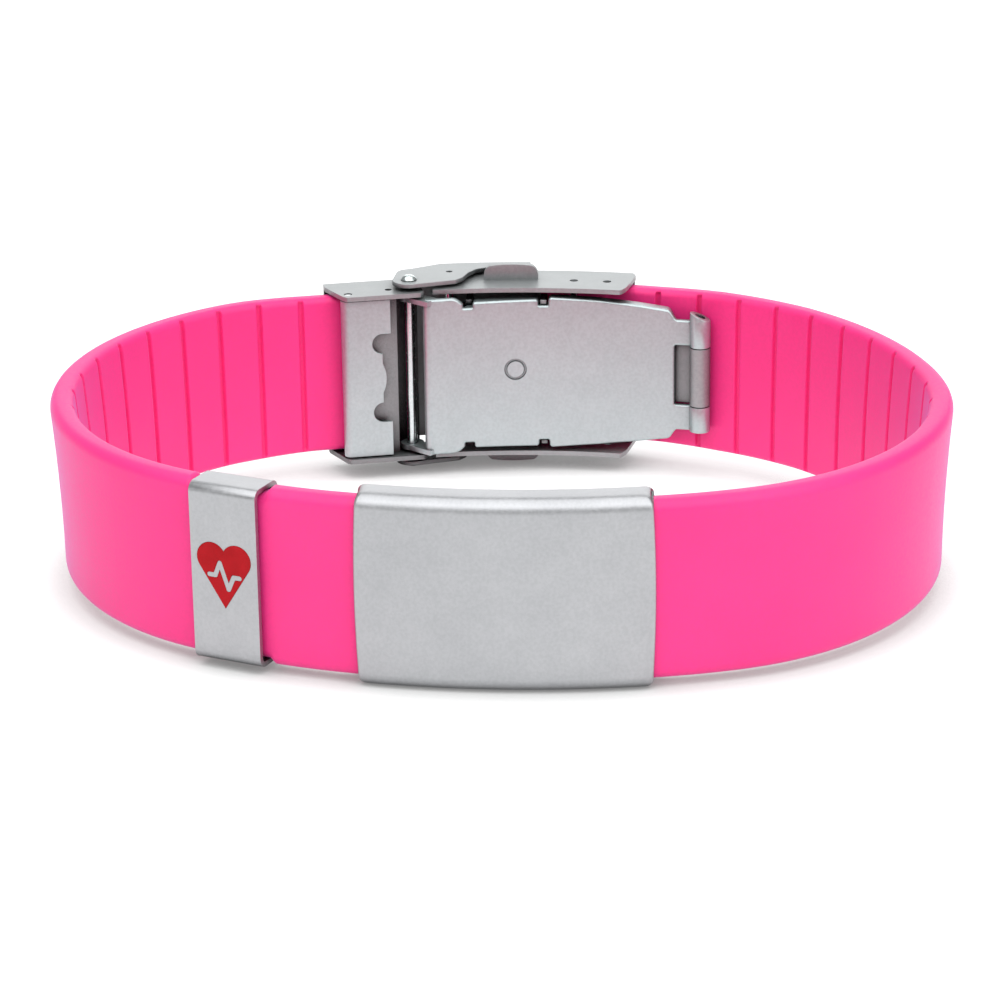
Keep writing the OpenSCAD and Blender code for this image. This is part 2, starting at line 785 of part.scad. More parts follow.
module outer_blade() {
    color([0.72, 0.73, 0.75]) at_clasp() difference() {
        union() {
            intersection() {
                curved(outer_centre, outer_r - outer_sheet, outer_r, -hs, hs);
                upright(-hs, hs) outer_outline();
            }
            // stop lugs that reach into the notches of the inner blade
            for (x = lug_x, z = [lug_top - lug_deep, -lug_top])
                translate([x - lug_w / 2, hinge[1] + 0.9, z])
                    cube([lug_w, on_circle(outer_centre, outer_r, x)[1] - hinge[1] - 1.2, lug_deep]);
            translate([hinge[0], hinge[1], -middle_knuckle + side_gap / 2])
                cylinder(r = knuckle_r, h = 2 * middle_knuckle - side_gap);
            translate([cover_pin[0], cover_pin[1], -stay_half])
                cylinder(r = outer_knuckle_r, h = 2 * stay_half);
        }
        translate([hinge[0], hinge[1], -hs]) cylinder(r = hinge_pin_r + pin_gap, h = 2 * hs);
        translate([cover_pin[0], cover_pin[1], -hs])
            cylinder(r = cover_pin_r + pin_gap, h = 2 * hs);
    }
}

// catch pin with its shoulders and domed heads
dome_r = 0.8;
dome_ball = (dome_r * dome_r + dome_h * dome_h) / (2 * dome_h);

module catch_pin() {
    head = arm_out + 0.04;
    color([0.85, 0.86, 0.87]) at_clasp() translate([catch[0], catch[1], 0]) {
        translate([0, 0, -head]) cylinder(r = catch_r, h = 2 * head);
        for (z = [clamp_out + 0.03, -arm_in + 0.03]) translate([0, 0, z])
            cylinder(r = catch_r + 0.35, h = arm_in - clamp_out - 0.06);
        for (s = [-1, 1]) intersection() {
            translate([0, 0, s * (head + dome_h - dome_ball)]) sphere(dome_ball);
            translate([0, 0, s > 0 ? head : -head - 2]) cylinder(r = 2, h = 2);
        }
    }
}

// flip lock: two arms on the catch pin and a plate that folds over the cover
lock_in = cover_plate_out + lock_slack;
lock_out = lock_in + sheet;
lock_length = 11.5;
lock_deep = lock_out - crown_r - catch[1];
lock_lug = 1.62;
lock_from = 2.9;
// outline of an arm from the catch pin, as shares of its length and depth
arm_outline = [
    [-0.139, 0.03],
    [-0.125, 0.43],
    [-0.094, 0.53],
    [0, 0.61],
    [0.344, 1.02],
    [1, 1.16],
    [1, 0.81],
    [0.637, 0.70],
    [0.548, 0.595],
    [0.487, 0.4],
    [0.449, 0.14],
    [0.4, 0.015],
    [0.034, -0.24],
    [0, 0]
];

module lock_side() {
    difference() {
        union() {
            intersection() {
                translate(catch)
                    polygon([for (q = arm_outline) [q[0] * lock_length, q[1] * lock_deep]]);
                translate(cover_centre) circle(lock_out, $fn = 200);
            }
            translate(catch) circle(lock_lug);
        }
        translate(catch) circle(catch_r + pin_gap);
        translate(cover_pin) circle(0.3);
    }
}

module flip_lock() {
    color([0.78, 0.79, 0.8]) at_clasp() {
        for (z = [arm_in, -arm_out]) translate([0, 0, z])
            linear_extrude(height = sheet) lock_side();
        translate([0, 0, -arm_out]) linear_extrude(height = 2 * arm_out)
            crown_ring(lock_in, lock_out, catch[0] + lock_from, catch[0] + lock_length);
    }
}

strap();
id_plate();
slider();
enamel();
clamp_box();
flap();
flap_pin();
catch_pin();
inner_blade();
hinge_pin();
outer_blade();
cover();
cover_hinge_pin();  // cover_pin
strap_bar();
flip_lock();
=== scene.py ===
import math

import bmesh
import bpy
from mathutils import Matrix, Vector


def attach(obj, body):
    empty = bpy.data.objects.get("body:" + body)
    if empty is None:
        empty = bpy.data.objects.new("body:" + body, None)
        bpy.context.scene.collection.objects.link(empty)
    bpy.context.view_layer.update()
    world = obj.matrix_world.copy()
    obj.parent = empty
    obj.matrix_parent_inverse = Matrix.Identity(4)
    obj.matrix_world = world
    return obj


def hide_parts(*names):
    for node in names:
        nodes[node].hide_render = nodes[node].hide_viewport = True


mm = 0.001

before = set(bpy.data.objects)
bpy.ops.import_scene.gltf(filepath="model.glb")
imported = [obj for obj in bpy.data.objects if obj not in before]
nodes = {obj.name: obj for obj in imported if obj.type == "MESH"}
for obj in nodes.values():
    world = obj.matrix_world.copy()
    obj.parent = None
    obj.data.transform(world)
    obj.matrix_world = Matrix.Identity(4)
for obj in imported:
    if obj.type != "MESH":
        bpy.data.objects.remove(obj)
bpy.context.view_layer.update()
print("frame loaded with", len(nodes), "nodes")


# material helpers

# the span of a noise, of a grain's specks and of a gap's shade that is spread over a whole range
noiseSpan = (0.3, 0.7)
speckSpan = (0.38, 0.62)
shadeSpan = (0.25, 0.9)
shadeSamples = 4


def newMaterial(name):
    mat = bpy.data.materials.new(name)
    mat.use_nodes = True
    tree = mat.node_tree
    shader = tree.nodes["Principled BSDF"]
    place = tree.nodes.new("ShaderNodeTexCoord")
    return mat, tree, shader, place.outputs["Object"]


def addNoise(tree, place, size, detail=2.0, stretch=None, mottle=0.5):
    # size is the grain's width in metres
    noise = tree.nodes.new("ShaderNodeTexNoise")
    noise.inputs["Roughness"].default_value = mottle
    noise.inputs["Scale"].default_value = 1.0 / size
    noise.inputs["Detail"].default_value = detail
    if stretch:
        mapping = tree.nodes.new("ShaderNodeMapping")
        mapping.inputs["Scale"].default_value = stretch
        tree.links.new(place, mapping.inputs["Vector"])
        place = mapping.outputs["Vector"]
    tree.links.new(place, noise.inputs["Vector"])
    return noise.outputs["Fac"]


def addRamp(tree, source, stops):
    ramp = tree.nodes.new("ShaderNodeValToRGB")
    for element, (at, color) in zip(ramp.color_ramp.elements, stops):
        element.position = at
        element.color = (*color, 1)
    tree.links.new(source, ramp.inputs["Fac"])
    return ramp.outputs["Color"]


def addTones(tree, noise, dark, light):
    return addRamp(tree, noise, [(noiseSpan[0], dark), (noiseSpan[1], light)])


def addSpecks(tree, noise, darkest):
    # fine light and dark specks that follow a grain
    return addRamp(tree, noise, [(speckSpan[0], (darkest,) * 3), (speckSpan[1], (1, 1, 1))])


def addRange(tree, source, low, high):
    spread = tree.nodes.new("ShaderNodeMapRange")
    spread.inputs["From Min"].default_value = noiseSpan[0]
    spread.inputs["From Max"].default_value = noiseSpan[1]
    spread.inputs["To Min"].default_value = low
    spread.inputs["To Max"].default_value = high
    tree.links.new(source, spread.inputs["Value"])
    return spread.outputs["Result"]


def addGapShade(tree, darkest, reach):
    # what lies deep in a gap or a corner is darker
    near = tree.nodes.new("ShaderNodeAmbientOcclusion")
    near.samples = shadeSamples
    near.inputs["Distance"].default_value = reach
    return addRamp(tree, near.outputs["AO"], [(shadeSpan[0], (darkest,) * 3), (shadeSpan[1], (1, 1, 1))])


def multiply(tree, first, second):
    blend = tree.nodes.new("ShaderNodeMix")
    blend.data_type = "RGBA"
    blend.blend_type = "MULTIPLY"
    blend.inputs["Factor"].default_value = 1.0
    tree.links.new(first, blend.inputs["A"])
    tree.links.new(second, blend.inputs["B"])
    return blend.outputs["Result"]


def addBump(tree, height, shader, strength, distance):
    bump = tree.nodes.new("ShaderNodeBump")
    bump.inputs["Strength"].default_value = strength
    bump.inputs["Distance"].default_value = distance
    tree.links.new(height, bump.inputs["Height"])
    tree.links.new(bump.outputs["Normal"], shader.inputs["Normal"])


# steel of the plate, the slider and the clasp: bead blasted, with a fine grain;
# the gap values say how dark and how far a gap or a corner shades it

satinSteel = {
    "light": (0.5, 0.507, 0.523),
    "dark": (0.44, 0.447, 0.463),
    "cloudSize": 5.5 * mm,
    "cloudDetail": 7,
    "cloudMottle": 0.78,
    "grainSize": 0.3 * mm,
    "grainDetail": 3,
    "grainDepth": 0.012 * mm,
    "grainStrength": 0.6,
    "specks": 0.91,
    "roughness": (0.36, 0.48),
    "metal": 0.95,
    "gapShade": 0.14,
    "gapReach": 2.2 * mm,
}
plateSteel = dict(satinSteel, gapShade=0.55, gapReach=1.2 * mm)
# the clasp's sheet: a darker, shaded copy of the satin steel that paints down the stronger light on the
# clasp's top, with a slight cyan tint that paints out the strap's pink reflection
claspSteel = dict(satinSteel, light=(0.375, 0.395, 0.4), dark=(0.322, 0.341, 0.347),
                  roughness=(0.33, 0.45), metal=0.5, gapShade=0.45, gapReach=1.8 * mm)
# its flap and inner blade, that face the pink strap, get a stronger cyan tint that paints out the pink
# reflection on them
bladeSteel = dict(claspSteel, light=(0.515, 0.593, 0.6), dark=(0.467, 0.54, 0.547),
                  metal=0.78, gapShade=0.12, gapReach=2.4 * mm)
# the same sheet on the pieces that are seen deep in the clasp, with strong painted shade: its gap shade
# reaches far and goes down to black, which paints these pieces dark
pitShadedSteel = dict(claspSteel, gapShade=0.0, gapReach=6.5 * mm)
# the long pin, whose heads are smoother, with a green-cyan tint that paints out the strap's pink glints on
# it
headSteel = dict(claspSteel, light=(0.76, 0.84, 0.84), dark=(0.7, 0.77, 0.77),
                 roughness=(0.22, 0.28), grainDepth=0.004 * mm, metal=1.0)


def makeSatinSteel(name, look):
    mat, tree, shader, place = newMaterial(name)
    clouds = addNoise(tree, place, look["cloudSize"], look["cloudDetail"], mottle=look["cloudMottle"])
    grain = addNoise(tree, place, look["grainSize"], look["grainDetail"])
    shader.inputs["Metallic"].default_value = look["metal"]
    steel = addTones(tree, clouds, look["dark"], look["light"])
    steel = multiply(tree, steel, addSpecks(tree, grain, look["specks"]))
    steel = multiply(tree, steel, addGapShade(tree, look["gapShade"], look["gapReach"]))
    tree.links.new(steel, shader.inputs["Base Color"])
    tree.links.new(addRange(tree, grain, *look["roughness"]), shader.inputs["Roughness"])
    addBump(tree, grain, shader, look["grainStrength"], look["grainDepth"])
    return mat


# polished steel of the pins

polishedSteel = {
    "color": (0.72, 0.73, 0.75),
    "scratchSize": 0.25 * mm,
    "scratchDetail": 3,
    "scratchStretch": (1, 1, 0.12),
    "scratchDepth": 0.004 * mm,
    "scratchStrength": 0.2,
    "roughness": (0.1, 0.2),
}


def makePolishedSteel(name, look):
    mat, tree, shader, place = newMaterial(name)
    scratches = addNoise(tree, place, look["scratchSize"], look["scratchDetail"], look["scratchStretch"])
    shader.inputs["Metallic"].default_value = 1.0
    shader.inputs["Base Color"].default_value = (*look["color"], 1)
    tree.links.new(addRange(tree, scratches, *look["roughness"]), shader.inputs["Roughness"])
    addBump(tree, scratches, shader, look["scratchStrength"], look["scratchDepth"])
    return mat


# silicone of the strap: matt, moulded, a little see-through

pinkSilicone = {
    "light": (0.94, 0.0355, 0.253),
    "deep": (0.92, 0.029, 0.229),
    "cloudSize": 14 * mm,
    "cloudDetail": 3,
    "skinSize": 0.32 * mm,
    "skinDetail": 2,
    "skinDepth": 0.009 * mm,
    "skinStrength": 0.5,
    "specks": 0.955,
    "roughness": (0.44, 0.54),
    "bendOfLight": 1.43,
    "glow": 0.12,
    "glowDepth": 0.5 * mm,
    "glowColor": (1.0, 0.25, 0.5),
    "sheen": 0.35,
    "sheenRoughness": 0.4,
    "sheenColor": (0.36, 0.48, 1.0),
}


def makeSilicone(name, look):
    mat, tree, shader, place = newMaterial(name)
    clouds = addNoise(tree, place, look["cloudSize"], look["cloudDetail"])
    skin = addNoise(tree, place, look["skinSize"], look["skinDetail"])
    pink = addTones(tree, clouds, look["deep"], look["light"])
    pink = multiply(tree, pink, addSpecks(tree, skin, look["specks"]))
    tree.links.new(pink, shader.inputs["Base Color"])
    tree.links.new(addRange(tree, skin, *look["roughness"]), shader.inputs["Roughness"])
    shader.inputs["Subsurface Weight"].default_value = look["glow"]
    shader.inputs["Subsurface Radius"].default_value = look["glowColor"]
    shader.inputs["Subsurface Scale"].default_value = look["glowDepth"]
    shader.inputs["IOR"].default_value = look["bendOfLight"]
    shader.inputs["Sheen Weight"].default_value = look["sheen"]
    shader.inputs["Sheen Roughness"].default_value = look["sheenRoughness"]
    shader.inputs["Sheen Tint"].default_value = (*look["sheenColor"], 1)
    addBump(tree, skin, shader, look["skinStrength"], look["skinDepth"])
    return mat


# enamel of the heart

redEnamel = {
    "light": (0.43, 0.005, 0.011),
    "dark": (0.345, 0.003, 0.007),
    "pourSize": 1.4 * mm,
    "pourDetail": 3,
    "pourDepth": 0.02 * mm,
    "pourStrength": 0.4,
    "roughness": (0.16, 0.26),
    "shine": 0.12,
}


def makeEnamel(name, look):
    mat, tree, shader, place = newMaterial(name)
    pour = addNoise(tree, place, look["pourSize"], look["pourDetail"])
    tree.links.new(addTones(tree, pour, look["dark"], look["light"]), shader.inputs["Base Color"])
    tree.links.new(addRange(tree, pour, *look["roughness"]), shader.inputs["Roughness"])
    shader.inputs["Specular IOR Level"].default_value = look["shine"]
    addBump(tree, pour, shader, look["pourStrength"], look["pourDepth"])
    return mat


satin = makeSatinSteel("satinSteel", satinSteel)
plateSatin = makeSatinSteel("plateSteel", plateSteel)
claspSatin = makeSatinSteel("claspSteel", claspSteel)
bladeSatin = makeSatinSteel("bladeSteel", bladeSteel)
pitShadedSatin = makeSatinSteel("pitShadedSteel", pitShadedSteel)
headSatin = makeSatinSteel("headSteel", headSteel)
polished = makePolishedSteel("polishedSteel", polishedSteel)
silicone = makeSilicone("pinkSilicone", pinkSilicone)
enamel = makeEnamel("redEnamel", redEnamel)
print("materials made")


# strap: the same loop as the frame's, with a finer section and softly moulded grooves

strapSizes = {
    "width": 16.0,
    "thickness": 2.2,
    "loopWidth": 77.7,
    "loopDepth": 59.8,
    "sideRadius": 25.4,
    "frontRadius": 61.5,
    "crownRadius": 55.5,
    "crownTurn": 8.0,
    "crownShift": -0.5,
    "shortOfCrown": 0.5,
    "frontShift": 2.16,
    "backOverFront": 0.67,  # how much deeper the clasp is than the plate, outside the strap
    "leftSideTurn": 45.0,
    "catch": (-12.2, -4.2),
    "clampTurn": 14.5,
    "overCatch": 1.43,
    "stop": 1.9,
    "plateHeight": 8.6,
    "claspHeight": 10.12,
    "sliderAt": -23.75,
    "sliderReach": 3.35,
    "pinch": 0.5,
    "pinchEase": 0.5,
    "climbFrom": -28.0,
    "climbBeforeCrown": 9.0,
    "lean": 0.75,
    "endTrim": 0.15,
    "leftTrim": (14.0, 6.0),  # from the end to full width, and the length of the slope
    "rightTrim": (18.0, 6.0),
    "outerEdge": 1.0,
    "innerEdge": 0.68,
    "groovePitch": 4.357,
    "firstGroove": -75.9,
    "grooveWidth": 0.62,
    "grooveDepth": 0.45,
    "grooveFloor": 1.35,
    "grooveStopsShort": 0.42,
    "groovesFromEnds": (8.0, 11.0),
    # ring places across a groove, and how far the other rings stay away, in groove widths
    "grooveRings": (-0.62, -0.5, -0.44, -0.36, -0.22, 0, 0.22, 0.36, 0.44, 0.5, 0.62),
    "clearOfGroove": 0.75,
    "cornerSteps": 6,
    "faceSteps": 12,
    "ringStep": 0.8,
}


def clip(value):
    return min(1, max(0, value))


def walkArc(spot, radius, degrees):
    # spot is a place and a heading, and the arc bends to the left
    (x, y), heading = spot
    a, b = math.radians(heading), math.radians(heading + degrees)
    return (x + radius * (math.sin(b) - math.sin(a)),
            y + radius * (math.cos(a) - math.cos(b))), heading + degrees


def inwardOf(heading):
    a = math.radians(heading)
    return Vector((-math.sin(a), math.cos(a)))


def loopRows(s):
    # the loop's arcs as (radius, turn) from the front's middle to each end, the left ones in a mirror
    frontY = -(s["loopDepth"] + s["backOverFront"]) / 2
    crown = Vector((s["frontShift"] + s["crownShift"], frontY + s["loopDepth"]))
    side, front = s["sideRadius"], s["frontRadius"]
    rightTurn = math.degrees(math.asin((s["loopWidth"] / 2 - s["frontShift"] - side) / (front - side)))
    leftTurn = math.degrees(math.asin((s["loopWidth"] / 2 + s["frontShift"] - side) / (front - side)))

    base, heading = walkArc(((s["frontShift"], frontY), 0), front, rightTurn)
    sideCentre = Vector(base) + side * inwardOf(heading)
    c = math.radians(s["crownTurn"])
    crownIn = Vector((-math.sin(c), -math.cos(c)))
    join = crown + s["crownRadius"] * (Vector((0, -1)) - crownIn)
    off = join - sideCentre
    closeRadius = (side ** 2 - off.dot(off)) / (2 * (off.dot(crownIn) + side))
    gap = sideCentre - join - closeRadius * crownIn
    sideHeading = math.degrees(math.atan2(gap.x, -gap.y))
    right = [(front, rightTurn), (side, sideHeading - rightTurn),
             (closeRadius, 180 - s["crownTurn"] - sideHeading),
             (s["crownRadius"], s["crownTurn"] - s["shortOfCrown"])]

    step = Vector((-s["stop"], s["overCatch"]))
    step.rotate(Matrix.Rotation(math.radians(s["clampTurn"]), 2))
    clampLine = crown + Vector(s["catch"]) + step
    end = Vector((-clampLine.x, clampLine.y))
    spot = walkArc(walkArc(((-s["frontShift"], frontY), 0), front, leftTurn), side, s["leftSideTurn"])
    lineIn = inwardOf(180 - s["clampTurn"])
    closeTurn = 180 - s["clampTurn"] - spot[1]
    radius = -(end - Vector(spot[0])).dot(lineIn) / (1 - math.cos(math.radians(closeTurn)))
    last = walkArc(spot, radius, closeTurn)
    left = [(front, leftTurn), (side, s["leftSideTurn"]), (radius, closeTurn)]
    straight = (end - Vector(last[0])).length
    return frontY, crown, right, left, straight


frontY, crown, rightRows, leftRows, leftStraight = loopRows(strapSizes)
rightLength = sum(r * math.radians(t) for r, t in rightRows)
leftLength = sum(r * math.radians(t) for r, t in leftRows) + leftStraight
print("strap runs from", round(-leftLength, 1), "to", round(rightLength, 1), "mm")


def strapSpot(s):
    # place and heading on the strap's middle line, in mm; negative lengths run along the left side
    rows = rightRows if s >= 0 else leftRows
    shift = strapSizes["frontShift"] * (1 if s >= 0 else -1)
    spot, rest = ((shift, frontY), 0.0), abs(s)
    for radius, degrees in rows:
        length = radius * math.radians(degrees)
        spot = walkArc(spot, radius, math.degrees(min(rest, length) / radius))
        rest -= length
        if rest <= 0:
            break
    (x, y), heading = spot
    if rest > 0:
        a = math.radians(heading)
        x, y = x + rest * math.cos(a), y + rest * math.sin(a)
    return ((x, y), heading) if s >= 0 else ((-x, y), 360 - heading)


def strapMiddle(y, s):
    top = crown.y - s["climbBeforeCrown"]
    climbed = clip((y - s["climbFrom"]) / (top - s["climbFrom"]))
    return s["plateHeight"] + (s["claspHeight"] - s["plateHeight"]) * climbed


def strapHalf(at, s):
    leftFrom, leftSlope = s["leftTrim"]
    rightFrom, rightSlope = s["rightTrim"]
    trim = max(clip((leftFrom - at - leftLength) / leftSlope),
               clip((at - rightLength + rightFrom) / rightSlope))
    pinch = clip((s["sliderReach"] + s["pinchEase"] - abs(at - s["sliderAt"])) / s["pinchEase"])
    return s["width"] / 2 - s["endTrim"] * trim - s["pinch"] * pinch


def strapSection(half, groove, s):
    # outward and upward offsets round the strap, starting at the top of its outer face
    t, big, small = s["thickness"] / 2, s["outerEdge"], s["innerEdge"]
    corners = [(t, half, big, 0), (-t, half, small, 90), (-t, -half, small, 180), (t, -half, big, 270)]
    out = []
    for i, (q, z, r, turn) in enumerate(corners):
        for k in range(s["cornerSteps"] + 1):
            a = math.radians(turn + 90 * k / s["cornerSteps"])
            out.append((q - math.copysign(r, q) + r * math.cos(a),
                        z - math.copysign(r, z) + r * math.sin(a)))
        if i % 2:
            # along the inner face, and back along the outer one
            nextRadius = corners[(i + 1) % 4][2]
            start, end = z - math.copysign(r, z), -z + math.copysign(nextRadius, z)
            out += [(q, start + (end - start) * k / s["faceSteps"]) for k in range(1, s["faceSteps"])]
    cut = []
    for q, z in out:
        # a groove is a cut from the inner face that fades out over the rounded edges
        depth = groove * s["grooveDepth"] * clip((half - abs(z)) / s["grooveStopsShort"])
        cut.append((max(q, -t + depth) if q < 0 else q, z))
    return cut


def grooveShape(off, s):
    # depth share of a groove at a distance off its middle: a flat floor with soft shoulders
    x = abs(off) / (s["grooveWidth"] / 2)
    return 0.0 if x >= 1 else min(1.0, (1 - x ** 3) * s["grooveFloor"])


def ringStops(s):
    stops = {-leftLength, rightLength}
    k = -leftLength
    while k < rightLength:
        stops.add(k)
        k += s["ringStep"]
    for reach in (s["sliderReach"], s["sliderReach"] + s["pinchEase"]):
        stops |= {s["sliderAt"] - reach, s["sliderAt"] + reach}
    fromLeft, fromRight = s["groovesFromEnds"]
    first = math.ceil((-leftLength + fromLeft - s["firstGroove"]) / s["groovePitch"])
    last = math.floor((rightLength - fromRight - s["firstGroove"]) / s["groovePitch"])
    grooves = [s["firstGroove"] + k * s["groovePitch"] for k in range(first, last + 1)]
    width = s["grooveWidth"]
    for g in grooves:
        stops = {x for x in stops if abs(x - g) >= width * s["clearOfGroove"]}
        stops |= {g + width * ring for ring in s["grooveRings"]}
    return sorted(stops), grooves


def makeStrap(s):
    stops, grooves = ringStops(s)
    points, faces = [], []
    for at in stops:
        (x, y), heading = strapSpot(at)
        a = math.radians(heading)
        nx, ny = math.sin(a), -math.cos(a)
        half = strapHalf(at, s)
        groove = max(grooveShape(at - g, s) for g in grooves)
        middle = strapMiddle(y, s)
        section = strapSection(half, groove, s)
        for q, z in section:
            up = (z + half) / (2 * half)
            out = q + s["lean"] * nx * nx * up * up
            points.append(((x + nx * out) * mm, (y + ny * out) * mm, (middle + z) * mm))
    count = len(section)
    for i in range(len(stops) - 1):
        for j in range(count):
            a, b = i * count + j, i * count + (j + 1) % count
            faces.append((a, a + count, b + count, b))
    faces.append(tuple(range(count)))
    faces.append(tuple(reversed(range((len(stops) - 1) * count, len(stops) * count))))
    mesh = bpy.data.meshes.new("siliconeStrap")
    mesh.from_pydata(points, [], faces)
    mesh.update()
    obj = bpy.data.objects.new("siliconeStrap", mesh)
    bpy.context.scene.collection.objects.link(obj)
    mesh.shade_smooth()
    obj.data.materials.append(silicone)
    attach(obj, "bracelet")
    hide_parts("strap")
    return obj


strap = makeStrap(strapSizes)
print("strap made:", len(strap.data.polygons), "faces")


# inner blade: sheet pressed into a shallow tray whose long edges are folded back round a soft bend;
# its left end curls round the catch and two knuckles are rolled on its right end

bladeSizes = {
    "tip": (-9.9, -6.42),
    "bend": 60.0,
    "halfHeight": 8.0,
    "fold": 0.27,
    "deep": 1.2,
    "sheet": 0.5,
    "wall": 0.3,
    "wallBulge": 0.03,
    "curl": 0.85,
    "curlTurn": 104.0,
    "curlSteps": 9,
    "bendSteps": 44,
    "foldSteps": 5,
    "tabEnds": 0.13,
    "trayEnds": 0.9,
    "trayEase": 0.01,
    "neckFrom": 0.912,
    "tabHeight": 0.99,
    "tabCorner": 0.3,
    "windowCorner": 0.15,
    "hingeBack": 17.0,
    "knuckle": 1.0,
    "knuckleOver": 0.16,
    "knuckleGap": 0.15,
    "knuckleGrip": 0.78,
    "bore": 0.5,
    "neck": 5.6,
    "middleKnuckle": 3.01,
    "windowBack": 2.45,
    "rollRise": 0.9,
    "rollFall": 0.42,
    "ringAt": 0.309,
    "ringUp": 0.48,
    "ring": ((1.09, 0.0), (1.02, 0.17), (0.88, 0.17), (0.8, 0.0)),
    "ringSteps": 40,
    "earEye": 1.15,
    "earBore": 0.55,
    "earBoreSteps": 32,
    "earArm": (3.3, -1.0, 0.7),
    "earTurn": -38.0,
    "earFrom": 7.35,
    "earSheet": 0.48,
    "earSteps": 20,
    "knuckleEdge": 0.08,
    "weldWithin": 2e-4,
    # the upper edge as (share of the length, share of the half height, corner radius)
    "edge": ((0.083, 0.99, 1.5), (0.101, 0.958, 0.4), (0.117, 0.91, 0.3), (0.117, 0.86, 0.12),
             (0.152, 0.86, 0.12), (0.152, 0.93, 0.3), (0.3957, 0.94, 0.3), (0.3957, 0.86, 0.12),
             (0.4323, 0.86, 0.12), (0.434, 0.962, 0.35), (0.622, 0.925, 4), (0.771, 0.871, 4),
             (0.886, 0.82, 0.7), (0.906, 0.72, 0.3)),
}


def roundedPath(corners, steps=6):
    # corners are (x, z, radius) in a closed clockwise round; each becomes a short arc
    out = []
    count = len(corners)
    mostOfEdge, nearlyStraight, leastReach = 0.48, math.radians(89.7), 0.005
    for i in range(count):
        here = Vector(corners[i][:2])
        back = Vector(corners[i - 1][:2]) - here
        ahead = Vector(corners[(i + 1) % count][:2]) - here
        half = back.angle(ahead) / 2
        reach = min(corners[i][2] / math.tan(half), back.length * mostOfEdge, ahead.length * mostOfEdge)
        radius = reach * math.tan(half)
        if half > nearlyStraight or reach < leastReach:
            out.append(here)
            continue
        middle = here + (back.normalized() + ahead.normalized()).normalized() * radius / math.sin(half)
        arm = here + back.normalized() * reach - middle
        turn = arm.angle_signed(here + ahead.normalized() * reach - middle)
        for k in range(steps + 1):
            step = arm.copy()
            step.rotate(Matrix.Rotation(-turn * k / steps, 2))
            out.append(middle + step)
    return out


def splitLong(path, most):
    # adds points on the long straights of a closed path
    out = []
    for i, p in enumerate(path):
        ahead = path[(i + 1) % len(path)]
        parts = max(1, math.ceil((ahead - p).length / most))
        out += [p.lerp(ahead, k / parts) for k in range(parts)]
    return out


def insetPath(path, inset):
    # moves a clockwise path inwards
    out = []
    leastSpread = 0.4
    for i in range(len(path)):
        back = (path[i] - path[i - 1]).normalized()
        ahead = (path[(i + 1) % len(path)] - path[i]).normalized()
        normal = Vector((back.y + ahead.y, -back.x - ahead.x)) / 2
        out.append(path[i] + normal * inset / max(leastSpread, normal.length_squared))
    return out


def circlePath(radius, steps, at=(0, 0)):
    turns = [2 * math.pi * k / steps for k in range(steps)]
    return [Vector((at[0] + radius * math.cos(a), at[1] - radius * math.sin(a))) for a in turns]


def quarterRound(radius, steps):
    # a rounded edge as rows of (inset, depth)
    turns = [math.radians(90 * k / steps) for k in range(steps + 1)]
    return [(radius * (1 - math.sin(a)), radius * (1 - math.cos(a))) for a in turns]


def cutAcross(bm, axis, at):
    # splits the mesh's faces where they cross a plane
    spot, normal = Vector(), Vector()
    spot[axis], normal[axis] = at, 1
    bmesh.ops.bisect_plane(bm, geom=bm.verts[:] + bm.edges[:] + bm.faces[:], dist=1e-4,
                           plane_co=spot, plane_no=normal)


def joinRings(bm, rings):
    for ring, nextRing in zip(rings, rings[1:]):
        for k in range(len(ring)):
            n = (k + 1) % len(ring)
            bm.faces.new((ring[k], ring[n], nextRing[n], nextRing[k]))


def fillBetween(bm, rings):
    # a flat face inside the first ring, with the other ring as a hole
    edges = []
    for ring in rings:
        for k in range(len(ring)):
            pair = (ring[k], ring[(k + 1) % len(ring)])
            edges.append(bm.edges.get(pair) or bm.edges.new(pair))
    bmesh.ops.triangle_fill(bm, use_beauty=True, edges=edges)


def addTube(bm, s, middle, z0, z1, fall=0.0, steps=40):
    # an upright rolled knuckle with softened ends; fall lowers its upper end towards the right
    radius, bore, soft = s["knuckle"], s["bore"], s["knuckleEdge"]
    slight = 0.3 * soft
    rows = [(bore, z0), (radius - soft, z0), (radius - slight, z0 + slight), (radius, z0 + soft),
            (radius, z1 - soft), (radius - slight, z1 - slight), (radius - soft, z1), (bore, z1)]
    rings = []
    for j, (r, z) in enumerate(rows):
        lower = fall if j > 3 else 0
        rings.append([bm.verts.new((middle.x + p.x, middle.y + p.y, z - lower * (radius + p.x)))
                      for p in circlePath(r, steps)])
    joinRings(bm, rings + rings[:1])


def addEar(bm, s, z0):
    # a plate from the tab back to the catch pin, with the pin's bore
    catch = Vector(strapSizes["catch"])
    turn = Matrix.Rotation(math.radians(s["earTurn"]), 2)
    reach, low, high = s["earArm"]
    eye = s["earEye"]
    start, end = math.asin(high / eye), 2 * math.pi + math.asin(low / eye)
    turns = [start + (end - start) * k / s["earSteps"] for k in range(s["earSteps"] + 1)]
    plan = [(reach, low), (reach, high)] + [(eye * math.cos(a), eye * math.sin(a)) for a in turns]
    plan = [catch + turn @ Vector(p) for p in plan]
    bore = [catch + p for p in circlePath(s["earBore"], s["earBoreSteps"])]
    levels = []
    for z in (z0, z0 + s["earSheet"]):
        rings = [[bm.verts.new((p.x, p.y, z)) for p in path] for path in (plan, bore)]
        fillBetween(bm, rings)
        levels.append(rings)
    joinRings(bm, [levels[0][0], levels[1][0]])
    joinRings(bm, [levels[0][1], levels[1][1]])


sheetShading = {"sharpFrom": 40.0, "weight": 90}


